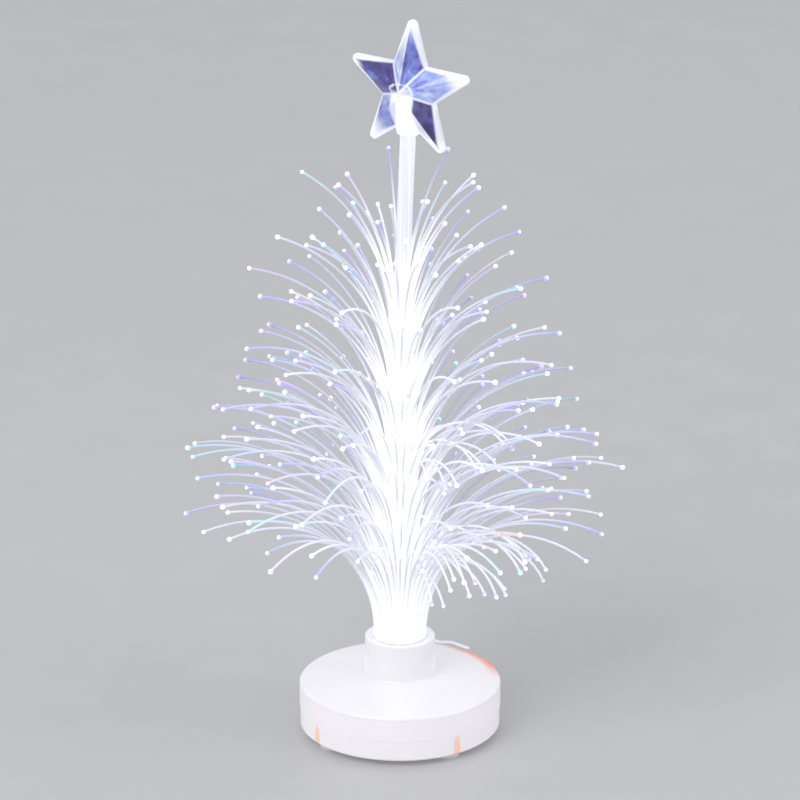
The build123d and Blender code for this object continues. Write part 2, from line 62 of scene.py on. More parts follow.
# The upper shell: its wall, gently domed top and neck
WALL = 1.2 * MM
RIM_HEIGHT = 4.2 * MM
NECK_HEIGHT = 6.6 * MM
NECK_RADIUS = 5.9 * MM
NECK_WALL = 0.85 * MM
SEAM_BEVEL = 0.1 * MM
RIM_ROUNDING = 0.5 * MM
NECK_FOOT_ROUNDING = 0.6 * MM
LIP_ROUNDING = 0.18 * MM
LIP_STEPS = 4
INNER_LIP_ROUNDING = 0.12 * MM
INNER_LIP_STEPS = 3
DOME_STEPS = 12
SHELL_SHARP_ANGLE = 40
base_radius = shell_size.x / 2
seam = shell_low.z
neck_top = shell_high.z
rim_top = seam + RIM_HEIGHT
dome_top = neck_top - NECK_HEIGHT

# The resin that fills the ferrule between the fibres
FERRULE_WALL = 0.5 * MM
ROD_RADIUS = 1.3 * MM
POTTING_DROP = 0.05 * MM
POTTING_DISH = 0.12 * MM
POTTING_RIM = 0.4 * MM
POTTING_ROD_RIM = 0.3 * MM
POTTING_STEPS = 96
bundle_radius = ferrule_size.x / 2 - FERRULE_WALL

# The star and its socket, which lean with the rod
STAR_RADIUS = 11.6 * MM
STAR_VALLEY = 0.45 * STAR_RADIUS
STAR_POINTS = 5
STAR_HALF_POINT = math.pi / STAR_POINTS
STAR_TIP_RADIUS = 0.8 * MM
STAR_TIP_SWEEP = 124
STAR_TIP_STEPS = 10
STAR_HALF_DEPTH = 3.4 * MM
STAR_RIM_LEVELS = ((1.0, 0.0), (1.0, 0.28 * MM), (0.994, 0.40 * MM), (0.984, 0.48 * MM))
STAR_RIM_TOP = 0.53 * MM
STAR_FACE_SHARE = 0.968
STAR_BULGE = 0.16 * MM
STAR_FACET_STEPS = 6
STAR_SHARP_ANGLE = 16
SOCKET_STEPS = 48
SOCKET_PROFILE_MM = (
    (1.35, -7.5), (1.72, -7.5), (1.82, -7.46), (1.88, -7.38), (2.14, -6.45), (2.19, -6.3), (2.2, -6.1),
    (2.2, -1.0), (1.35, -1.0),
)
ROD_LEAN_START = 72 * MM
ROD_LEAN_LENGTH = 40.4 * MM
ROD_LEAN = math.radians(2.3)
ROD_LEAN_DIRECTION = math.radians(33)
rod_side = Vector((math.cos(ROD_LEAN_DIRECTION), math.sin(ROD_LEAN_DIRECTION), 0))
rod_up = rod_side * math.sin(ROD_LEAN) + Vector((0, 0, math.cos(ROD_LEAN)))
star_centre = Vector((0, 0, ROD_LEAN_START)) + rod_up * ROD_LEAN_LENGTH
star_facing = Vector((0, -1, 0))
star_normal = (star_facing - rod_up * star_facing.dot(rod_up)).normalized()
star_side = rod_up.cross(star_normal)

# The camera of the photograph: where it stands, how it looks down and its field of view
CAMERA_AZIMUTH = math.radians(33)
CAMERA_REACH = 736 * MM
CAMERA_HEIGHT = 320 * MM
CAMERA_PITCH = math.radians(19.53)
CAMERA_FOCAL_PIXELS = 4713
CAMERA_CLIP = (0.01, 30)
PHOTO_PIXELS = 800
SENSOR = 36

# The floor, the world and the lamps, each with its name, azimuth from the camera, height, size and power
FLOOR_HALF = 6.0
FLOOR_COLOURS = ((0.50, 0.50, 0.51), (0.54, 0.54, 0.55))
FLOOR_MOTTLE_SCALE = 60.0
WORLD_COLOUR = (0.80, 0.81, 0.83)
WORLD_STRENGTH = 0.85
LAMPS = (("key", -40, 0.75, 0.7, 5.0), ("fill", 75, 0.6, 0.8, 2.0))
LAMP_REACH = 0.8
LAMP_AIM = Vector((0, 0, 0.06))

# The fibres start, leave the trunk and bend as the solids' strands do, and are scattered in the same way
SPRAY_RADIUS = 35 * MM
TRUNK_HEIGHT = 58.5 * MM
RING_GAP = 0.02 * MM
ROD_RING_GAP = 0.15 * MM
RING_SIDES = 24
STRAND_RADIUS = 0.21 * MM
STRAND_SIDES = 3
FIBRE_COUNTS = (50, 48, 46, 42, 36, 32, 26, 20)
LEAVE_SHARES = (0.005, 0.04, 0.16, 0.31, 0.46, 0.62, 0.78, 0.93)
LEAVE_SPREAD_SHARES = (0.02, 0.08, 0.075, 0.07, 0.07, 0.07, 0.065, 0.05)
BEND_RADIUS_SHARES = (0.66, 0.735, 0.74, 0.68, 0.685, 0.71, 0.755, 0.90)
END_ANGLES = (108, 102, 98, 95, 88, 80, 68, 55)
END_ANGLE_SPREAD = 30
END_ANGLE_OVER_SHARE = 0.2
HEADING_SPREAD_SHARE = 0.8
GOLDEN_SHARE = 0.6180340
PLASTIC_SHARE = 0.7548777
THIRD_SHARE = 0.5698403

# Loose strands that hang down at the front right: of which tiers, over which headings and how they bend
DROOP_ANGLE_SPREAD = 20
DROOPS = (
    {
        "tiers": (0, 1), "from": math.radians(13), "to": math.radians(82), "share": 0.85, "angle": 138,
        "leave": 6.5 * MM, "leave_spread": 7.0 * MM, "radius": 7.0 * MM, "radius_spread": 4.0 * MM,
    },
    {
        "tiers": (4,), "from": math.radians(18), "to": math.radians(92), "share": 1.0, "angle": 140,
        "leave": 27.0 * MM, "leave_spread": 3.5 * MM, "radius": 5.0 * MM, "radius_spread": 3.5 * MM,
    },
)

# The round tubes that show the fibres, and their lit ends as (reach, width, whiteness of the painted glare at
# the cut face)
FIBRE_RADIUS = 0.20 * MM
FIBRE_SIDES = 8
FIBRE_SINK = 0.6 * MM
TRUNK_STEP = 8 * MM
ARC_STEPS = 22
TIP_RADIUS = 0.40 * MM
TIP_LEAST = 0.85
TIP_SPREAD = 0.3
TIP_PROFILE = (
    (-0.9, 0.62, 0.0), (-0.55, 0.86, 0.0), (0.0, 1.0, 0.15), (0.5, 0.88, 0.55), (0.85, 0.52, 0.9),
    (0.98, 0.18, 1.0),
)

# The light in a fibre: how it fades away from the trunk and up the trunk, and towards the back
CORE_RADIUS = 4.2 * MM
CORE_FADE = 5 * MM
CORE_HEART = 0.7
CORE_DIMMING = 0.15
CORE_DIMMING_START = 45 * MM
CORE_DIMMING_RISE = 45 * MM
FRONT_START = -14 * MM
FRONT_DEPTH = 34 * MM

# The stray strand: points in millimetres, to the photo's right, towards its camera and up
STRAY_RADIUS = 0.26 * MM
STRAY_POINTS_MM = (
    (2.0, -3.2, 16.4), (2.6, -4.6, 17.6), (3.6, -6.6, 17.0), (4.8, -8.2, 13.6), (6.4, -9.2, 11.9),
    (8.6, -9.4, 11.7), (10.2, -9.0, 11.3), (11.6, -8.5, 11.0),
)
STRAY_END = ((0.6, 0.8), (1.0, 0.35))
STRAY_CORE = 0.6
STRAY_FRONT = 0.8
STRAY_COLOUR = (0.86, 0.89, 1.00)

# The colours of the light that the fibres' ends glow with
DROOP_COLOUR = (0.90, 0.92, 1.00)
TIP_COLOURS = (
    (0.68, 0.66, 1.00),
    (0.38, 0.28, 0.93),
    (0.86, 0.89, 1.00),
    (0.30, 0.36, 0.97),
    (0.54, 0.50, 1.00),
    (0.40, 0.76, 0.98),
    (0.94, 0.95, 0.98),
    (0.46, 0.37, 0.98),
    (0.38, 0.52, 1.00),
    (0.52, 0.86, 0.86),
    (0.78, 0.78, 1.00),
    (0.78, 0.58, 0.92),
    (0.60, 0.64, 1.00),
)
WARM_FIBRE = (0, 49)
WARM_COLOUR = (1.00, 0.50, 0.42)


def level_way(angle):
    """The level direction at an angle."""
    return Vector((math.cos(angle), math.sin(angle), 0))


def camera_side(right, towards, height):
    """A point given by how far it lies to the photo's right and towards its camera."""
    along = level_way(CAMERA_AZIMUTH) * right
    near = Vector((math.sin(CAMERA_AZIMUTH), -math.cos(CAMERA_AZIMUTH), 0)) * towards
    return tuple(along + near + UP * height)


# Meshes
def mesh_object(name, vertices, faces):
    """A smooth mesh object in the row frame."""
    mesh = bpy.data.meshes.new(name)
    mesh.from_pydata([tuple(v) for v in vertices], [], faces)
    mesh.update()
    mesh.shade_smooth()
    made = bpy.data.objects.new(name, mesh)
    bpy.context.scene.collection.objects.link(made)
    return made


def smooth_by_angle(made, degrees=30):
    """Smooth shading with sharp edges kept above an angle."""
    made.data.shade_smooth()
    made.data.set_sharp_from_angle(angle=math.radians(degrees))


def lathe(name, profile, steps=160):
    """A closed profile of (radius, height) points turned about the Z axis."""
    vertices = []
    for step in range(steps):
        turn = 2 * math.pi * step / steps
        for radius, height in profile:
            vertices.append((radius * math.cos(turn), radius * math.sin(turn), height))
    count = len(profile)
    faces = []
    for step in range(steps):
        here = step * count
        there = (step + 1) % steps * count
        for point in range(count):
            following = (point + 1) % count
            faces.append((here + point, there + point, there + following, here + following))
    return mesh_object(name, vertices, faces)


def round_corner(before, corner, after, radius, steps=6):
    """Points of an arc that rounds a corner of a profile."""
    corner = Vector(corner)
    to_before = (Vector(before) - corner).normalized()
    to_after = (Vector(after) - corner).normalized()
    half = to_before.angle(to_after) / 2
    centre = corner + (to_before + to_after).normalized() * (radius / math.sin(half))
    first = corner + to_before * (radius / math.tan(half)) - centre
    last = corner + to_after * (radius / math.tan(half)) - centre
    total = first.angle(last)
    points = []
    for step in range(steps + 1):
        share = step / steps
        mix = (first * math.sin((1 - share) * total) + last * math.sin(share * total)) / math.sin(total)
        points.append(tuple(centre + mix))
    return points


def add_tube(vertices, faces, rings):
    """A closed round tube through rings of (middle, direction, side, radius)."""
    first = len(vertices)
    for middle, direction, side, radius in rings:
        across = direction.cross(side)
        for step in range(FIBRE_SIDES):
            turn = 2 * math.pi * step / FIBRE_SIDES
            vertices.append(middle + (side * math.cos(turn) + across * math.sin(turn)) * radius)
    last = len(vertices) - FIBRE_SIDES
    for here in range(first, last, FIBRE_SIDES):
        there = here + FIBRE_SIDES
        for step in range(FIBRE_SIDES):
            following = (step + 1) % FIBRE_SIDES
            faces.append((here + step, here + following, there + following, there + step))
    faces.append(tuple(reversed(range(first, first + FIBRE_SIDES))))
    faces.append(tuple(range(last, last + FIBRE_SIDES)))


def set_values(piece, name, values):
    """A number for each vertex, kept under a name."""
    layer = piece.data.attributes.new(name, "FLOAT", "POINT")
    layer.data.foreach_set("value", values)


def set_colours(piece, name, colours):
    """A colour for each vertex, kept under a name."""
    layer = piece.data.attributes.new(name, "FLOAT_COLOR", "POINT")
    layer.data.foreach_set("color", np.array([(*c, 1.0) for c in colours], np.float32).ravel())


def dress(piece, material):
    """The piece wears this material alone."""
    piece.data.materials.clear()
    piece.data.materials.append(material)
    for polygon in piece.data.polygons:
        polygon.material_index = 0


# Nodes of materials
def node_of(tree, kind, **settings):
    """A new shader node with its settings."""
    made = tree.nodes.new(kind)
    for key, value in settings.items():
        setattr(made, key, value)
    return made


def new_material(name, **sockets):
    """A material with a Principled shader whose sockets are set."""
    material = bpy.data.materials.new(name)
    material.use_nodes = True
    tree = material.node_tree
    shader = tree.nodes["Principled BSDF"]
    for key, value in sockets.items():
        shader.inputs[key.replace("_", " ")].default_value = value
    return material, tree, shader


def feed(tree, shader, value, *sockets):
    """A value or colour that feeds these sockets of a shader."""
    for socket in sockets:
        tree.links.new(value, shader.inputs[socket])


def maths(tree, operation, first, second=None):
    """A maths node of one or two values or sockets."""
    made = node_of(tree, "ShaderNodeMath", operation=operation)
    for index, value in enumerate((first, second)):
        if value is None:
            continue
        if isinstance(value, (int, float)):
            made.inputs[index].default_value = value
        else:
            tree.links.new(value, made.inputs[index])
    return made.outputs[0]


def chain(tree, operation, first, *others):
    """One maths operation over a row of values or sockets."""
    for other in others:
        first = maths(tree, operation, first, other)
    return first


def length_of(tree, first, second):
    """The length of a step with these two sides."""
    squares = [maths(tree, "MULTIPLY", side, side) for side in (first, second)]
    return maths(tree, "SQRT", maths(tree, "ADD", *squares))


def ramp(tree, factor, stops):
    """A colour ramp over a factor, with stops of (place, colour)."""
    made = node_of(tree, "ShaderNodeValToRGB")
    elements = made.color_ramp.elements
    while len(elements) < len(stops):
        elements.new(0.5)
    for element, (place, colour) in zip(elements, stops):
        element.position = place
        element.color = (*colour, 1)
    tree.links.new(factor, made.inputs["Fac"])
    return made.outputs["Color"]


def map_range(tree, value, low, high, to_low=0.0, to_high=1.0, smooth=True):
    """A value mapped from one range to another and clamped."""
    made = node_of(tree, "ShaderNodeMapRange", clamp=True)
    made.interpolation_type = "SMOOTHSTEP" if smooth else "LINEAR"
    for socket, number in (("From Min", low), ("From Max", high), ("To Min", to_low), ("To Max", to_high)):
        made.inputs[socket].default_value = number
    tree.links.new(value, made.inputs["Value"])
    return made.outputs["Result"]


def mix_colour(tree, factor, first, second):
    """Two colours or colour sockets mixed by a factor."""
    made = node_of(tree, "ShaderNodeMix", data_type="RGBA")
    for index, value in ((0, factor), (6, first), (7, second)):
        if isinstance(value, tuple):
            made.inputs[index].default_value = (*value, 1)
        else:
            tree.links.new(value, made.inputs[index])
    return made.outputs[2]


def tint_by(tree, mask, strength, colour, other):
    """A colour that turns into another one where a mask says so."""
    return mix_colour(tree, maths(tree, "MULTIPLY", mask, strength), colour, other)


def attribute(tree, name, output="Fac"):
    """The value, or colour, that a mesh keeps under a name."""
    return node_of(tree, "ShaderNodeAttribute", attribute_name=name).outputs[output]


def object_point(tree):
    """A point in the row frame, and its x, y and z."""
    coordinates = node_of(tree, "ShaderNodeTexCoord").outputs["Object"]
    split = node_of(tree, "ShaderNodeSeparateXYZ")
    tree.links.new(coordinates, split.inputs[0])
    return coordinates, split.outputs[0], split.outputs[1], split.outputs[2]


def noise(tree, coordinates, scale, detail=3.0, roughness=0.5):
    """A noise value at a scale."""
    made = node_of(tree, "ShaderNodeTexNoise")
    made.inputs["Scale"].default_value = scale
    made.inputs["Detail"].default_value = detail
    made.inputs["Roughness"].default_value = roughness
    tree.links.new(coordinates, made.inputs["Vector"])
    return made.outputs["Fac"]


def bump(tree, shader, height, strength, distance):
    """A bump of a height on a shader."""
    made = node_of(tree, "ShaderNodeBump")
    made.inputs["Strength"].default_value = strength
    made.inputs["Distance"].default_value = distance
    tree.links.new(height, made.inputs["Height"])
    tree.links.new(made.outputs["Normal"], shader.inputs["Normal"])


def vector_maths(tree, operation, vector, other):
    """The outputs of a vector maths node of a socket and a fixed vector."""
    made = node_of(tree, "ShaderNodeVectorMath", operation=operation)
    tree.links.new(vector, made.inputs[0])
    made.inputs[1].default_value = other
    return made.outputs


def distance_to(tree, point, centre):
    """The distance from a point of the row frame."""
    return vector_maths(tree, "DISTANCE", point, centre)["Value"]


def dot_with(tree, vector, direction):
    """How far a vector reaches along a direction."""
    return vector_maths(tree, "DOT_PRODUCT", vector, direction)["Value"]


def combined(tree, *parts):
    """A vector of sockets and values."""
    made = node_of(tree, "ShaderNodeCombineXYZ")
    for index, part in enumerate(parts):
        if isinstance(part, float):
            made.inputs[index].default_value = part
        else:
            tree.links.new(part, made.inputs[index])
    return made.outputs[0]


# The milky shell: its colours, its glow, its painted warm glow, its painted pink shadow and the painted
# shadows of its bosses, with their fades
# A painted warm glow on the rim at the back right: its centre and how it fades
PAINTED_GLOW_CENTRE = camera_side(13.8 * MM, -9.9 * MM, rim_top)
PAINTED_GLOW_FADE = (3.0 * MM, 11.0 * MM)
# A painted pink shadow of a boss's end on the wall at the left: its centre and fade
PAINTED_PINK_SHADOW = camera_side(-14.0 * MM, 9.5 * MM, 6.8 * MM)
PAINTED_PINK_SHADOW_FADE = (0.4 * MM, 1.6 * MM)
# Painted shadows of the bosses: their angle and spacing, the heights, half widths and blur of their wedges,
# and their fades at the seam and at the wall
BOSS_ANGLE = math.radians(67.5)
HALF_BOSS_STEP = math.pi / 4
BOSS_SHADOW_HEIGHTS = (1.0 * MM, seam)
BOSS_SHADOW_HALF_WIDTHS = (0.85 * MM, 0.35 * MM)
BOSS_SHADOW_BLUR = 0.3 * MM
BOSS_SHADOW_TOP_FADE = (seam - 0.8 * MM, seam + 0.2 * MM)
WALL_FADE = (base_radius - 0.5 * MM, base_radius - 0.25 * MM)
RIM_FADE = (base_radius - 2.4 * MM, base_radius - 0.5 * MM)
TOP_FADE = (rim_top - 0.9 * MM, rim_top - 0.2 * MM)
GLOW_HEIGHTS = (rim_top - 1.0 * MM, rim_top)
GLOW_STRENGTHS = (0.30, 0.24)
GLOW_START_RADIUS = 4 * MM
UNDERSIDE_FADE = (0.2 * MM, 1.4 * MM)
UNDERSIDE_SHARE = 0.25
SHELL_CLOUD_SCALE = 180.0
SHELL_GRAIN_SCALE = 900.0
SHELL_COLOURS = ((0.70, 0.69, 0.71), (0.64, 0.63, 0.66))
SHELL_GLOWS = (
    (0.0, WHITE), (0.25, (0.99, 0.98, 1.0)), (0.8, (0.98, 0.95, 1.0)), (1.0, (0.99, 0.94, 0.98)),
)
# The painted warm glow: its red tint in the colour and in the glow
PAINTED_GLOW_COLOUR = (0.90, 0.22, 0.10)
PAINTED_GLOW_SHARE = 0.9
PAINTED_GLOW_EMISSION = (1.0, 0.20, 0.08)
PAINTED_GLOW_EMISSION_SHARE = 0.95
# The painted pink shadow's tint
PAINTED_PINK_SHADOW_COLOUR = (0.95, 0.66, 0.66)
PAINTED_PINK_SHADOW_SHARE = 0.3
# Painted shadows of the bosses: their warm tint in the colour and in the glow
BOSS_SHADOW_COLOUR = (0.82, 0.44, 0.30)
BOSS_SHADOW_GLOW = (0.98, 0.50, 0.28)
BOSS_SHADOW_SHARE = 0.7


def painted_boss_shadows(tree, x, y, z, at_wall):
    """Painted shadows of the bosses: warm wedges on the wall below the seam, where the bosses inside shade
    the light that comes through the wall.
    """
    from_boss = maths(tree, "SUBTRACT", maths(tree, "ARCTAN2", y, x), BOSS_ANGLE)
    off_boss = maths(tree, "PINGPONG", maths(tree, "ADD", from_boss, 4 * math.pi), HALF_BOSS_STEP)
    across = maths(tree, "MULTIPLY", off_boss, base_radius)
    half_width = map_range(tree, z, *BOSS_SHADOW_HEIGHTS, *BOSS_SHADOW_HALF_WIDTHS, smooth=False)
    past_edge = maths(tree, "SUBTRACT", across, half_width)
    wedge = map_range(tree, past_edge, -BOSS_SHADOW_BLUR, BOSS_SHADOW_BLUR, 1.0, 0.0)
    below_seam = map_range(tree, z, *BOSS_SHADOW_TOP_FADE, 1.0, 0.0)
    return chain(tree, "MULTIPLY", wedge, below_seam, at_wall)


def milky_shell_material():
    """Milky plastic lit from inside, brighter on its wall, with painted warm shadows of the bosses, a painted
    pink shadow and a painted warm glow at the rim.
    """
    material, tree, shader = new_material(
        "milky_shell", Roughness=0.24, IOR=1.49, Coat_Weight=0.25, Coat_Roughness=0.08,
        Subsurface_Weight=0.25, Subsurface_Scale=0.002,
    )
    shader.inputs["Subsurface Radius"].default_value = (1.0, 0.85, 0.95)
    point, x, y, z = object_point(tree)
    radius = length_of(tree, x, y)
    # Painted shadows of the bosses, on the wall only
    boss_shadow_mask = painted_boss_shadows(tree, x, y, z, map_range(tree, radius, *WALL_FADE))
    # The painted warm glow, on the rim's top edge only
    near_painted_glow = map_range(tree, distance_to(tree, point, PAINTED_GLOW_CENTRE), *PAINTED_GLOW_FADE, 1.0, 0.0)
    at_rim = map_range(tree, radius, *RIM_FADE)
    painted_warm_glow = chain(tree, "MULTIPLY", near_painted_glow, at_rim, map_range(tree, z, *TOP_FADE))
    # The painted pink shadow
    pink_shadow_mask = map_range(tree, distance_to(tree, point, PAINTED_PINK_SHADOW), *PAINTED_PINK_SHADOW_FADE, 1.0, 0.0)
    colour = mix_colour(tree, noise(tree, point, SHELL_CLOUD_SCALE, 4.0), *SHELL_COLOURS)
    colour = tint_by(tree, painted_warm_glow, PAINTED_GLOW_SHARE, colour, PAINTED_GLOW_COLOUR)
    colour = tint_by(tree, pink_shadow_mask, PAINTED_PINK_SHADOW_SHARE, colour, PAINTED_PINK_SHADOW_COLOUR)
    colour = tint_by(tree, boss_shadow_mask, BOSS_SHADOW_SHARE, colour, BOSS_SHADOW_COLOUR)
    feed(tree, shader, colour, "Base Color")
    glow = ramp(tree, map_range(tree, radius, GLOW_START_RADIUS, base_radius, smooth=False), SHELL_GLOWS)
    glow = tint_by(tree, painted_warm_glow, PAINTED_GLOW_EMISSION_SHARE, glow, PAINTED_GLOW_EMISSION)
    glow = tint_by(tree, boss_shadow_mask, BOSS_SHADOW_SHARE, glow, BOSS_SHADOW_GLOW)
    feed(tree, shader, glow, "Emission Color")
    wall_to_top = map_range(tree, z, *GLOW_HEIGHTS, *GLOW_STRENGTHS)
    off_underside = map_range(tree, z, *UNDERSIDE_FADE, UNDERSIDE_SHARE, 1.0)
    feed(tree, shader, maths(tree, "MULTIPLY", wall_to_top, off_underside), "Emission Strength")
    bump(tree, shader, noise(tree, point, SHELL_GRAIN_SCALE, 2.0), strength=0.05, distance=0.2 * MM)
    return material


# The fibres: a colour with painted shade at the back and one with painted light at the front, colours of a
# toned strand and in the trunk, and how brightly each part glows
FIBRE_BACK_SHADED = (0.60, 0.62, 0.78)
FIBRE_FRONT_LIT = (0.80, 0.81, 0.88)
FIBRE_TONED = (0.66, 0.66, 0.72)
FIBRE_CORE = (0.66, 0.66, 0.68)
FIBRE_GLOW = (0.88, 0.91, 1.0)
FIBRE_TONE_SHARE = 0.35
FIBRE_END_START = 0.72
FIBRE_END_SHARE = 0.52
FIBRE_STREAK_SCALE = 420.0
PLAIN_LIGHT = 0.70
TONE_LIGHT = 0.30
STREAK_LIGHT = 0.15
ARCH_LIGHT = 0.08
ARCH_FRONT_LIGHT = 0.20
TRUNK_LIGHT = 0.50
TIP_LIGHT = 0.55
# White flecks painted into the tips' glow: their scale and share
TIP_FLECK_SCALE = 1500.0
TIP_FLECK_SHARE = 0.3


def fibre_material():
    """Clear fibre that carries light: white by the trunk, grey-white on its arch, tinted near its end, with
    painted shade at the back and painted light at the front.
    """
    material, tree, shader = new_material(
        "clear_fibre", Roughness=0.15, IOR=1.49, Transmission_Weight=0.2, Coat_Weight=0.25,
        Coat_Roughness=0.06,
    )
    core = attribute(tree, "core")
    tone = attribute(tree, "tone")
    front = attribute(tree, "front")
    tint = attribute(tree, "tint", "Color")
    end = map_range(tree, attribute(tree, "along"), FIBRE_END_START, 1.0, 0.0, FIBRE_END_SHARE)
    streak = noise(tree, object_point(tree)[0], FIBRE_STREAK_SCALE, 2.0)
    # Painted shade on the strands at the back, painted light on those at the front
    body = mix_colour(tree, front, FIBRE_BACK_SHADED, FIBRE_FRONT_LIT)
    body = tint_by(tree, tone, FIBRE_TONE_SHARE, body, FIBRE_TONED)
    body = mix_colour(tree, core, body, FIBRE_CORE)
    feed(tree, shader, mix_colour(tree, end, body, tint), "Base Color")
    glow = mix_colour(tree, core, FIBRE_GLOW, WHITE)
    feed(tree, shader, mix_colour(tree, end, glow, tint), "Emission Color")
    own = maths(tree, "ADD", maths(tree, "MULTIPLY", tone, TONE_LIGHT), PLAIN_LIGHT)
    own = maths(tree, "ADD", own, maths(tree, "MULTIPLY", streak, STREAK_LIGHT))
    arch = maths(tree, "ADD", maths(tree, "MULTIPLY", front, ARCH_FRONT_LIGHT), ARCH_LIGHT)
    strength = maths(tree, "MAXIMUM", maths(tree, "MULTIPLY", core, TRUNK_LIGHT), arch)
    feed(tree, shader, maths(tree, "MULTIPLY", strength, own), "Emission Strength")
    return material


def tip_material():
    """The lit cut ends, each glowing in its fibre's colour of light, whitened by painted glare towards the
    cut face and by white flecks.
    """
    material, tree, shader = new_material("lit_tip", Roughness=0.2, IOR=1.49)
    glow_fleck = noise(tree, object_point(tree)[0], TIP_FLECK_SCALE, 1.0)
    colour = tint_by(tree, glow_fleck, TIP_FLECK_SHARE, attribute(tree, "tint", "Color"), WHITE)
    feed(tree, shader, colour, "Base Color", "Emission Color")
    shader.inputs["Emission Strength"].default_value = TIP_LIGHT
    return material


# The rod: streaks that are drawn out along it, in two colours, and its light from low to high
ROD_STRETCH = (1.0, 1.0, 0.02)
ROD_STREAK_SCALE = 1400.0
ROD_STREAK_FADE = (0.40, 0.60)
ROD_COLOURS = ((0.74, 0.76, 0.92), (0.88, 0.89, 0.96))
ROD_LIGHT_HEIGHTS = (90 * MM, 112 * MM)
ROD_LIGHTS = (0.24, 0.36)


def rod_material():
    """Clear rod with light running up it in fine streaks, brighter towards the star."""
    material, tree, shader = new_material(
        "clear_rod", Roughness=0.1, IOR=1.49, Transmission_Weight=0.35, Coat_Weight=0.3
    )
    point, _, _, z = object_point(tree)
    stretch = node_of(tree, "ShaderNodeMapping")
    stretch.inputs["Scale"].default_value = ROD_STRETCH
    tree.links.new(point, stretch.inputs["Vector"])
    streak = map_range(tree, noise(tree, stretch.outputs[0], ROD_STREAK_SCALE, 2.0), *ROD_STREAK_FADE)
    colour = mix_colour(tree, streak, *ROD_COLOURS)
    feed(tree, shader, colour, "Base Color", "Emission Color")
    strength = map_range(tree, z, *ROD_LIGHT_HEIGHTS, *ROD_LIGHTS, smooth=False)
    feed(tree, shader, strength, "Emission Strength")
    return material


# The star: its facets and streaks with their tints of painted shade and painted glow, and the light in its
# rims, tips, column and knot
STAR_FACET_SEED = 18314.0
STAR_FACET_SHARE = 0.38
STAR_STREAK_SHARE = 0.62
STAR_STREAK_TURNS = 1.6
STAR_STREAK_REACH = 170.0
STAR_STREAK_JUMP = 7.0
STAR_STREAK_SCALE = 1.5
STAR_STREAK_ROUGHNESS = 0.6
# The facets' painted shade and glow: the dark tints are painted shade and the blue and pale ones painted
# glow, on acrylic that is clear
STAR_SHADE_AND_GLOW_TINTS = (
    (0.30, (0.045, 0.035, 0.14)), (0.42, (0.10, 0.09, 0.33)), (0.52, (0.24, 0.30, 0.80)),
    (0.60, (0.42, 0.52, 0.92)), (0.70, (0.84, 0.88, 1.0)),
)
STAR_LIT_COLOUR = (0.86, 0.87, 0.90)
STAR_RIM_FADE = (0.12 * MM, 0.48 * MM)
STAR_CREASE_FADE = (0.08 * MM, 0.34 * MM)
STAR_CREASE_SHARE = 0.85
STAR_COLUMN_FADE = (1.9 * MM, 2.4 * MM)
STAR_COLUMN_TOP = (-0.6 * MM, 0.7 * MM)
STAR_END_SHIFT = 3.6 * MM
STAR_END_FADE = (STAR_RADIUS - 2.6 * MM, STAR_RADIUS + 0.9 * MM)
KNOT_HALF_WIDTH = 2.3 * MM
KNOT_HALF_HEIGHT = 1.3 * MM
KNOT_HEIGHT = 0.2 * MM
KNOT_RING = 0.9
KNOT_FADE = (0.26, 0.50)
KNOT_STREAK_SHARE = 0.60
KNOT_SHARE = 0.9
STAR_LIT_SHARE = 0.94
STAR_LIGHT = 0.12
STAR_LIT_LIGHT = 0.22


def rim_light(tree, folded, reach):
    """The light in the star's rims and in the creases between its facets."""
    valley = Vector((math.cos(STAR_HALF_POINT), math.sin(STAR_HALF_POINT))) * STAR_VALLEY
    edge = (valley - Vector((STAR_RADIUS, 0))).normalized()
    along = maths(tree, "MULTIPLY", reach, maths(tree, "COSINE", folded))
    beside = maths(tree, "MULTIPLY", reach, maths(tree, "SINE", folded))
    from_tip = maths(tree, "MULTIPLY", maths(tree, "SUBTRACT", STAR_RADIUS, along), edge.y)
    inside = maths(tree, "SUBTRACT", from_tip, maths(tree, "MULTIPLY", beside, -edge.x))
    to_valley = maths(tree, "SUBTRACT", STAR_HALF_POINT, folded)
    off_crease = maths(tree, "MULTIPLY", reach, maths(tree, "SINE", to_valley))
    rim = map_range(tree, inside, *STAR_RIM_FADE, 1.0, 0.0)
    crease = map_range(tree, off_crease, *STAR_CREASE_FADE, STAR_CREASE_SHARE, 0.0)
    return maths(tree, "MAXIMUM", rim, crease)


def knot_light(tree, sideways, upwards, streak):
    """The ragged ring of light over the socket's end."""
    across = maths(tree, "DIVIDE", sideways, KNOT_HALF_WIDTH)
    above = maths(tree, "DIVIDE", maths(tree, "SUBTRACT", upwards, KNOT_HEIGHT), KNOT_HALF_HEIGHT)
    off_ring = maths(tree, "ABSOLUTE", maths(tree, "SUBTRACT", length_of(tree, across, above), KNOT_RING))
    ragged = maths(tree, "ADD", off_ring, maths(tree, "MULTIPLY", streak, KNOT_STREAK_SHARE))
    return map_range(tree, ragged, *KNOT_FADE, KNOT_SHARE, 0.0)


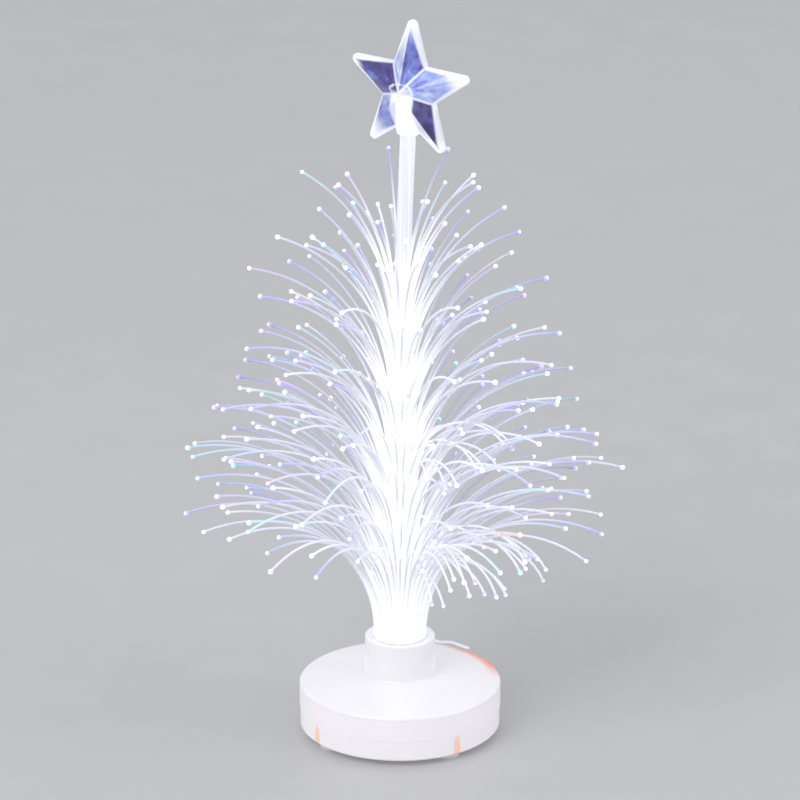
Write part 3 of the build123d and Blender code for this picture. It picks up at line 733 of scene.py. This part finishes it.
def star_material():
    """Clear acrylic: painted white glow in its rims and tips, facets painted dark with shade and blue with
    glow, and the rod's light in the middle.
    """
    material, tree, shader = new_material(
        "clear_star", Roughness=0.03, IOR=1.49, Transmission_Weight=0.35, Coat_Weight=0.5,
        Coat_Roughness=0.02,
    )
    from_centre = vector_maths(tree, "SUBTRACT", object_point(tree)[0], star_centre)[0]
    sideways = dot_with(tree, from_centre, star_side)
    upwards = dot_with(tree, from_centre, rod_up)
    outwards = dot_with(tree, from_centre, star_normal)
    reach = length_of(tree, sideways, upwards)
    turn = maths(tree, "ADD", maths(tree, "ARCTAN2", sideways, upwards), 4 * math.pi)
    folded = maths(tree, "PINGPONG", turn, STAR_HALF_POINT)
    number = maths(tree, "FLOOR", maths(tree, "DIVIDE", turn, STAR_HALF_POINT))
    face = combined(tree, number, maths(tree, "SIGN", outwards), STAR_FACET_SEED)
    dealt = node_of(tree, "ShaderNodeTexWhiteNoise", noise_dimensions="3D")
    tree.links.new(face, dealt.inputs["Vector"])
    facet = dealt.outputs["Value"]
    round_star = maths(tree, "MULTIPLY", turn, STAR_STREAK_TURNS)
    to_rim = maths(tree, "MULTIPLY", reach, STAR_STREAK_REACH)
    polar = combined(tree, round_star, to_rim, maths(tree, "MULTIPLY", facet, STAR_STREAK_JUMP))
    streak = noise(tree, polar, STAR_STREAK_SCALE, roughness=STAR_STREAK_ROUGHNESS)
    facet_part = maths(tree, "MULTIPLY", facet, STAR_FACET_SHARE)
    streak_part = maths(tree, "MULTIPLY", streak, STAR_STREAK_SHARE)
    # The facets' painted shade and painted glow
    tint = ramp(tree, maths(tree, "ADD", facet_part, streak_part), STAR_SHADE_AND_GLOW_TINTS)
    shifted = maths(tree, "ADD", reach, maths(tree, "MULTIPLY", facet, STAR_END_SHIFT))
    end = map_range(tree, shifted, *STAR_END_FADE)
    column = map_range(tree, maths(tree, "ABSOLUTE", sideways), *STAR_COLUMN_FADE, 1.0, 0.0)
    below = map_range(tree, upwards, *STAR_COLUMN_TOP, 1.0, 0.0)
    column = maths(tree, "MULTIPLY", column, below)
    rim = rim_light(tree, folded, reach)
    lit = chain(tree, "MAXIMUM", rim, knot_light(tree, sideways, upwards, streak), end, column)
    tint = tint_by(tree, lit, STAR_LIT_SHARE, tint, STAR_LIT_COLOUR)
    feed(tree, shader, tint, "Base Color", "Emission Color")
    strength = maths(tree, "ADD", maths(tree, "MULTIPLY", lit, STAR_LIT_LIGHT), STAR_LIGHT)
    feed(tree, shader, strength, "Emission Strength")
    return material


# Plain finishes: name, two colours of the mottle, its scale, roughness and how metallic
PLATED_STEEL = ("plated_steel", (0.55, 0.55, 0.57), (0.68, 0.68, 0.70), 600.0, 0.32, 1.0)
CONTACT_METAL = ("contact_metal", (0.74, 0.68, 0.50), (0.82, 0.77, 0.62), 500.0, 0.28, 1.0)
BOARD_GREEN = ("board_green", (0.03, 0.24, 0.08), (0.05, 0.33, 0.12), 400.0, 0.4, 0.0)
BLACK_EPOXY = ("black_epoxy", (0.018, 0.018, 0.02), (0.035, 0.035, 0.04), 900.0, 0.55, 0.0)
WHITE_COLLAR = ("white_collar", (0.82, 0.82, 0.80), (0.90, 0.90, 0.88), 300.0, 0.5, 0.0)
LAMP_LENS = ("lamp_lens", (0.85, 0.90, 1.0), (0.95, 0.97, 1.0), 300.0, 0.12, 0.0)


def plain_material(name, colour, second, scale, roughness, metallic):
    """A finish with a slight mottle in its colour and a fine bump."""
    material, tree, shader = new_material(name, Roughness=roughness, Metallic=metallic)
    point = object_point(tree)[0]
    feed(tree, shader, mix_colour(tree, noise(tree, point, scale, 4.0), colour, second), "Base Color")
    bump(tree, shader, noise(tree, point, scale * 4, 2.0), strength=0.06, distance=0.1 * MM)
    return material


# The courses of the fibres
def share_of(index, step_share, offset_share):
    """An even, repeatable scatter from 0 to 1."""
    return (index * step_share + offset_share) % 1


def root_radius(tier):
    """How far from the middle the fibres of a tier stand in the ring that pots them."""
    ring_start = ROD_RADIUS + ROD_RING_GAP
    pitch = (bundle_radius - ring_start + RING_GAP) / len(FIBRE_COUNTS)
    ring_outer = bundle_radius - tier * pitch
    ring_inner = ring_outer - pitch + RING_GAP
    inset = STRAND_RADIUS * (1 - math.cos(math.pi / STRAND_SIDES)) / 2
    return (ring_outer * math.cos(math.pi / RING_SIDES) + ring_inner) / 2 - inset


def fibre_paths(tier):
    """For each fibre of a tier: its root, heading, leave height, bend radius, end angle and scatter."""
    radius = root_radius(tier)
    count = FIBRE_COUNTS[tier]
    heading_spread = HEADING_SPREAD_SHARE * 180 / count
    paths = []
    for fibre in range(count):
        azimuth = (fibre + share_of(tier, GOLDEN_SHARE, 0)) * 360 / count
        turn = share_of(fibre, GOLDEN_SHARE, tier * THIRD_SHARE) - 0.5
        leave_share = share_of(fibre, PLASTIC_SHARE, tier * GOLDEN_SHARE)
        turn_share = share_of(fibre, THIRD_SHARE, tier * PLASTIC_SHARE)
        rise_share = LEAVE_SHARES[tier] + LEAVE_SPREAD_SHARES[tier] * leave_share
        end_angle = END_ANGLES[tier] - END_ANGLE_SPREAD * (turn_share - END_ANGLE_OVER_SHARE)
        paths.append({
            "azimuth": math.radians(azimuth),
            "root": level_way(math.radians(azimuth)) * radius,
            "heading": math.radians(azimuth + heading_spread * turn),
            "leave_share": leave_share,
            "leave": neck_top + TRUNK_HEIGHT * rise_share,
            "bend": SPRAY_RADIUS * BEND_RADIUS_SHARES[tier],
            "turn_share": turn_share,
            "end": math.radians(end_angle),
            "scatter": share_of(fibre, PLASTIC_SHARE, tier * THIRD_SHARE),
            "hanging": False,
        })
    return paths


def from_camera(heading):
    """The angle from the way to the photo's camera to a heading, positive to the photo's right."""
    return (heading - CAMERA_AZIMUTH + math.pi * 1.5) % (2 * math.pi) - math.pi


def hanging_paths(tier):
    """The loose strands that bend over sharply at the front right, each beside a fibre of its tier."""
    half_step = math.pi / FIBRE_COUNTS[tier]
    for droop in DROOPS:
        if tier not in droop["tiers"]:
            continue
        for path in fibre_paths(tier):
            side = from_camera(path["heading"])
            if not droop["from"] < side < droop["to"] or path["scatter"] >= droop["share"]:
                continue
            side_share = (side - droop["from"]) / (droop["to"] - droop["from"])
            yield {
                **path,
                "root": level_way(path["azimuth"] + half_step) * path["root"].length,
                "leave": neck_top + droop["leave"] + droop["leave_spread"] * path["leave_share"],
                "bend": droop["radius"] + droop["radius_spread"] * side_share,
                "end": math.radians(droop["angle"] + DROOP_ANGLE_SPREAD * path["turn_share"]),
                "hanging": True,
            }


def strand_paths(tier):
    """The fibres of a tier and the hanging strands beside them."""
    return [*fibre_paths(tier), *hanging_paths(tier)]


def fibre_rings(path):
    """The middle points and the directions of a fibre, from its root to its end."""
    outwards = level_way(path["heading"])
    start = neck_top - FIBRE_SINK
    rise = path["leave"] - start
    steps = max(1, round(rise / TRUNK_STEP))
    for step in range(steps):
        yield path["root"] + UP * (start + rise * step / steps), UP
    for step in range(ARC_STEPS + 1):
        turn = path["end"] * step / ARC_STEPS
        out = path["bend"] * (1 - math.cos(turn))
        height = path["leave"] + path["bend"] * math.sin(turn)
        direction = UP * math.cos(turn) + outwards * math.sin(turn)
        yield path["root"] + outwards * out + UP * height, direction


def tip_colour(tier, number):
    """The colour that a fibre's end shows."""
    if (tier, number) == WARM_FIBRE:
        return WARM_COLOUR
    return TIP_COLOURS[int(share_of(number, GOLDEN_SHARE, tier * PLASTIC_SHARE) * len(TIP_COLOURS))]


def trunk_light(middle):
    """How strongly the trunk's light shows in a fibre at this point."""
    out = math.hypot(middle.x, middle.y)
    lit = math.exp(-max(0.0, out - CORE_RADIUS) / CORE_FADE)
    risen = min(1.0, max(0.0, (middle.z - CORE_DIMMING_START) / CORE_DIMMING_RISE))
    heart = 1 + CORE_HEART * max(0.0, 1 - out / CORE_RADIUS)
    return lit * (1 - CORE_DIMMING * risen) * heart


# Pieces
def build_fibres(tier, material):
    """All the fibres of a tier as round tubes."""
    towards_camera = Vector(camera_side(0, 1, 0))
    vertices, faces, along, core, tone, front, tints = [], [], [], [], [], [], []
    for number, path in enumerate(strand_paths(tier)):
        side = level_way(path["heading"]).cross(UP)
        rings = list(fibre_rings(path))
        add_tube(vertices, faces, [(middle, direction, side, FIBRE_RADIUS) for middle, direction in rings])
        for index, (middle, direction) in enumerate(rings):
            # How near the camera a point lies: it sets the painted shade at the back and the painted light at
            # the front
            near = (middle.dot(towards_camera) - FRONT_START) / FRONT_DEPTH
            along += [index / (len(rings) - 1)] * FIBRE_SIDES
            core += [trunk_light(middle)] * FIBRE_SIDES
            tone += [path["scatter"]] * FIBRE_SIDES
            front += [1.0 if path["hanging"] else min(1.0, max(near, 0.0))] * FIBRE_SIDES
            tints += [DROOP_COLOUR if path["hanging"] else tip_colour(tier, number)] * FIBRE_SIDES
    piece = mesh_object(f"fibres_{tier + 1}", vertices, faces)
    set_values(piece, "along", along)
    set_values(piece, "core", core)
    set_values(piece, "tone", tone)
    set_values(piece, "front", front)
    set_colours(piece, "tint", tints)
    dress(piece, material)
    return piece


def build_tips(tier, material):
    """The rounded lit ends of a tier's fibres."""
    vertices, faces, tints = [], [], []
    for number, path in enumerate(strand_paths(tier)):
        side = level_way(path["heading"]).cross(UP)
        middle, direction = list(fibre_rings(path))[-1]
        size = TIP_RADIUS * (TIP_LEAST + TIP_SPREAD * path["scatter"])
        colour = Vector(tip_colour(tier, number))
        rings = []
        for reach, width, painted_glare in TIP_PROFILE:
            rings.append((middle + direction * (reach * size), direction, side, width * size))
            tints += [tuple(colour.lerp(Vector(WHITE), painted_glare))] * FIBRE_SIDES
        add_tube(vertices, faces, rings)
    piece = mesh_object(f"lit_tips_{tier + 1}", vertices, faces)
    set_colours(piece, "tint", tints)
    dress(piece, material)
    return piece


def smooth_path(points, steps=6):
    """A smooth Catmull-Rom run through a row of points, with its direction at each step."""
    padded = [points[0] * 2 - points[1], *points, points[-1] * 2 - points[-2]]
    run = []
    for index in range(1, len(padded) - 2):
        before, here, there, after = padded[index - 1 : index + 3]
        for step in range(steps + (index == len(padded) - 3)):
            share = step / steps
            run.append(
                (
                    here * 2
                    + (there - before) * share
                    + (before * 2 - here * 5 + there * 4 - after) * share**2
                    + (here * 3 - before - there * 3 + after) * share**3
                )
                / 2
            )
    ways = [(run[min(i + 1, len(run) - 1)] - run[max(i - 1, 0)]).normalized() for i in range(len(run))]
    return list(zip(run, ways))


def build_stray(material):
    """The one short strand that lies over the neck's back edge and on the dome."""
    points = [Vector(camera_side(*(size * MM for size in place))) for place in STRAY_POINTS_MM]
    run = [(middle, way, STRAY_RADIUS) for middle, way in smooth_path(points)]
    end, way, _ = run[-1]
    run += [(end + way * STRAY_RADIUS * reach, way, STRAY_RADIUS * share) for reach, share in STRAY_END]
    vertices, faces = [], []
    add_tube(vertices, faces, [(middle, way, way.cross(UP).normalized(), size) for middle, way, size in run])
    piece = mesh_object("stray_fibre", vertices, faces)
    count = len(vertices)
    for name, value in (("along", 0.0), ("core", STRAY_CORE), ("tone", 0.0), ("front", STRAY_FRONT)):
        set_values(piece, name, [value] * count)
    set_colours(piece, "tint", [STRAY_COLOUR] * count)
    dress(piece, material)
    return piece


def star_outline():
    """The star's outline about its centre, with rounded tips."""
    corners = []
    for number in range(STAR_POINTS):
        aim = math.pi / 2 + number * 2 * STAR_HALF_POINT
        middle = Vector((math.cos(aim), math.sin(aim))) * (STAR_RADIUS - STAR_TIP_RADIUS)
        for step in range(STAR_TIP_STEPS + 1):
            turn = aim + math.radians(STAR_TIP_SWEEP * (step / STAR_TIP_STEPS - 0.5))
            corners.append(middle + Vector((math.cos(turn), math.sin(turn))) * STAR_TIP_RADIUS)
        turn = aim + STAR_HALF_POINT
        corners.append(Vector((math.cos(turn), math.sin(turn))) * STAR_VALLEY)
    return corners


def add_star_body(vertices, faces):
    """The star itself: softened rims, and facets that rise to a point on both sides."""
    corners = star_outline()
    levels = []
    for step in range(STAR_FACET_STEPS):
        share = step / STAR_FACET_STEPS
        rise = (STAR_HALF_DEPTH - STAR_RIM_TOP) * share + STAR_BULGE * math.sin(share * math.pi)
        levels.append((STAR_FACE_SHARE * (1 - share), STAR_RIM_TOP + rise))
    half = [*STAR_RIM_LEVELS, *levels]
    rings = [(scale, -height) for scale, height in reversed(half)] + half
    for scale, height in rings:
        for corner in corners:
            flat = (star_side * corner.x + rod_up * corner.y) * scale
            vertices.append(star_centre + flat + star_normal * height)
    count = len(corners)
    for ring in range(len(rings) - 1):
        for point in range(count):
            here, there = ring * count + point, ring * count + (point + 1) % count
            faces.append((here, there, there + count, here + count))
    for side, first in ((-1, 0), (1, (len(rings) - 1) * count)):
        apex = len(vertices)
        vertices.append(star_centre + star_normal * side * STAR_HALF_DEPTH)
        for point in range(count):
            edge = (first + point, first + (point + 1) % count)
            faces.append((*(edge if side > 0 else reversed(edge)), apex))


def add_star_socket(vertices, faces):
    """The socket that grips the rod."""
    first = len(vertices)
    for step in range(SOCKET_STEPS):
        turn = 2 * math.pi * step / SOCKET_STEPS
        across = star_side * math.cos(turn) + star_normal * math.sin(turn)
        for radius, height in SOCKET_PROFILE_MM:
            vertices.append(star_centre + across * (radius * MM) + rod_up * (height * MM))
    size = len(SOCKET_PROFILE_MM)
    for step in range(SOCKET_STEPS):
        here, there = first + step * size, first + (step + 1) % SOCKET_STEPS * size
        for point in range(size):
            following = (point + 1) % size
            faces.append((here + point, here + following, there + following, there + point))


def build_star(material):
    """The star and its socket round the rod."""
    vertices, faces = [], []
    add_star_body(vertices, faces)
    add_star_socket(vertices, faces)
    piece = mesh_object("star_moulding", vertices, faces)
    turned = bmesh.new()
    turned.from_mesh(piece.data)
    bmesh.ops.recalc_face_normals(turned, faces=turned.faces)
    turned.to_mesh(piece.data)
    turned.free()
    smooth_by_angle(piece, STAR_SHARP_ANGLE)
    dress(piece, material)
    return piece


def build_shell(material):
    """The upper shell with its softly rounded rim, domed top and neck."""
    inner_neck = NECK_RADIUS - NECK_WALL
    dome = []
    for step in range(1, DOME_STEPS):
        share = step / DOME_STEPS
        height = rim_top + (dome_top - rim_top) * math.sin(share * math.pi / 2)
        dome.append((base_radius + (NECK_RADIUS - base_radius) * share, height))
    neck_foot, neck_edge, bore_edge = (NECK_RADIUS, dome_top), (NECK_RADIUS, neck_top), (inner_neck, neck_top)
    rim = round_corner((base_radius, seam), (base_radius, rim_top), dome[0], RIM_ROUNDING)
    foot = round_corner(dome[-1], neck_foot, neck_edge, NECK_FOOT_ROUNDING)
    lip = round_corner(neck_foot, neck_edge, bore_edge, LIP_ROUNDING, LIP_STEPS)
    bore_foot = (inner_neck, dome_top)
    inner_lip = round_corner(neck_edge, bore_edge, bore_foot, INNER_LIP_ROUNDING, INNER_LIP_STEPS)
    profile = [(base_radius - WALL, seam), (base_radius - SEAM_BEVEL, seam), (base_radius, seam + SEAM_BEVEL)]
    profile += rim + dome + foot + lip + inner_lip
    profile += [(inner_neck, dome_top - WALL), (base_radius - WALL, rim_top - WALL)]
    piece = lathe("upper_shell_moulding", profile[::-1])
    smooth_by_angle(piece, SHELL_SHARP_ANGLE)
    dress(piece, material)
    return piece


def build_potting(material):
    """The resin that holds the fibres in the neck, with a shallow dished top."""
    bottom = rod_low.z
    top = neck_top - POTTING_DROP
    dish = top - POTTING_DISH
    profile = [
        (ROD_RADIUS, bottom), (bundle_radius, bottom), (bundle_radius, top),
        (bundle_radius - POTTING_RIM, dish), (ROD_RADIUS + POTTING_ROD_RIM, dish), (ROD_RADIUS, top),
    ]
    piece = lathe("fibre_potting", profile[::-1], POTTING_STEPS)
    smooth_by_angle(piece)
    dress(piece, material)
    return piece


# The stage
def set_camera():
    """The photograph's camera."""
    data = bpy.data.cameras.new("camera")
    data.sensor_width = SENSOR
    data.lens = SENSOR * CAMERA_FOCAL_PIXELS / PHOTO_PIXELS
    data.clip_start, data.clip_end = CAMERA_CLIP
    camera = bpy.data.objects.new("camera", data)
    camera.location = camera_side(0, CAMERA_REACH, CAMERA_HEIGHT)
    camera.rotation_euler = (math.pi / 2 - CAMERA_PITCH, 0, CAMERA_AZIMUTH)
    bpy.context.scene.collection.objects.link(camera)
    bpy.context.scene.camera = camera


def set_floor():
    """A plain pale floor with a little gloss."""
    signs = ((-1, -1), (1, -1), (1, 1), (-1, 1))
    floor = mesh_object("floor", [(x * FLOOR_HALF, y * FLOOR_HALF, 0) for x, y in signs], [(0, 1, 2, 3)])
    material, tree, shader = new_material("pale_floor", Roughness=0.30, IOR=1.45)
    mottle = noise(tree, object_point(tree)[0], FLOOR_MOTTLE_SCALE)
    feed(tree, shader, mix_colour(tree, mottle, *FLOOR_COLOURS), "Base Color")
    dress(floor, material)


def set_light():
    """A plain even world with one large soft lamp at the front left and a weaker one at the right."""
    world = bpy.data.worlds.new("world")
    bpy.context.scene.world = world
    world.use_nodes = True
    background = world.node_tree.nodes["Background"]
    background.inputs["Color"].default_value = (*WORLD_COLOUR, 1)
    background.inputs["Strength"].default_value = WORLD_STRENGTH
    for name, azimuth, height, size, power in LAMPS:
        data = bpy.data.lights.new(name, "AREA")
        data.shape = "SQUARE"
        data.size = size
        data.energy = power
        lamp = bpy.data.objects.new(name, data)
        turn = CAMERA_AZIMUTH + math.radians(azimuth)
        lamp.location = (LAMP_REACH * math.sin(turn), -LAMP_REACH * math.cos(turn), height)
        lamp.rotation_euler = (LAMP_AIM - Vector(lamp.location)).to_track_quat("-Z", "Y").to_euler()
        bpy.context.scene.collection.objects.link(lamp)


set_camera()
set_floor()
set_light()

shell = milky_shell_material()
fibre = fibre_material()
tip = tip_material()
rod = rod_material()
star = star_material()
for material, names in (
    (shell, ("lower_shell", "battery_hatch")),
    (rod, ("bundle_ferrule", "centre_rod")),
    (plain_material(*PLATED_STEEL), ("shell_screws", "board_screws", "coin_cell", "switch_housing")),
    (plain_material(*CONTACT_METAL), ("negative_contact", "positive_contact", "lamp_leads")),
    (plain_material(*BOARD_GREEN), ("circuit_board",)),
    (plain_material(*BLACK_EPOXY), ("colour_chip", "switch_slider")),
    (plain_material(*WHITE_COLLAR), ("lamp_collar",)),
    (plain_material(*LAMP_LENS), ("lamp",)),
):
    for name in names:
        dress(nodes[name], material)

moulding = build_shell(shell)
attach(moulding, "root")
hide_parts("upper_shell")
potting = build_potting(fibre)
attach(potting, "root")
star_piece = build_star(star)
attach(star_piece, "root")
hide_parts("star")
stray = build_stray(fibre)
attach(stray, "root")
for tier in range(len(FIBRE_COUNTS)):
    fibres = build_fibres(tier, fibre)
    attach(fibres, "root")
    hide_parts(f"fibre_tier_{tier + 1}")
    tips = build_tips(tier, tip)
    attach(tips, "root")

bpy.context.scene.view_settings.view_transform = "Standard"
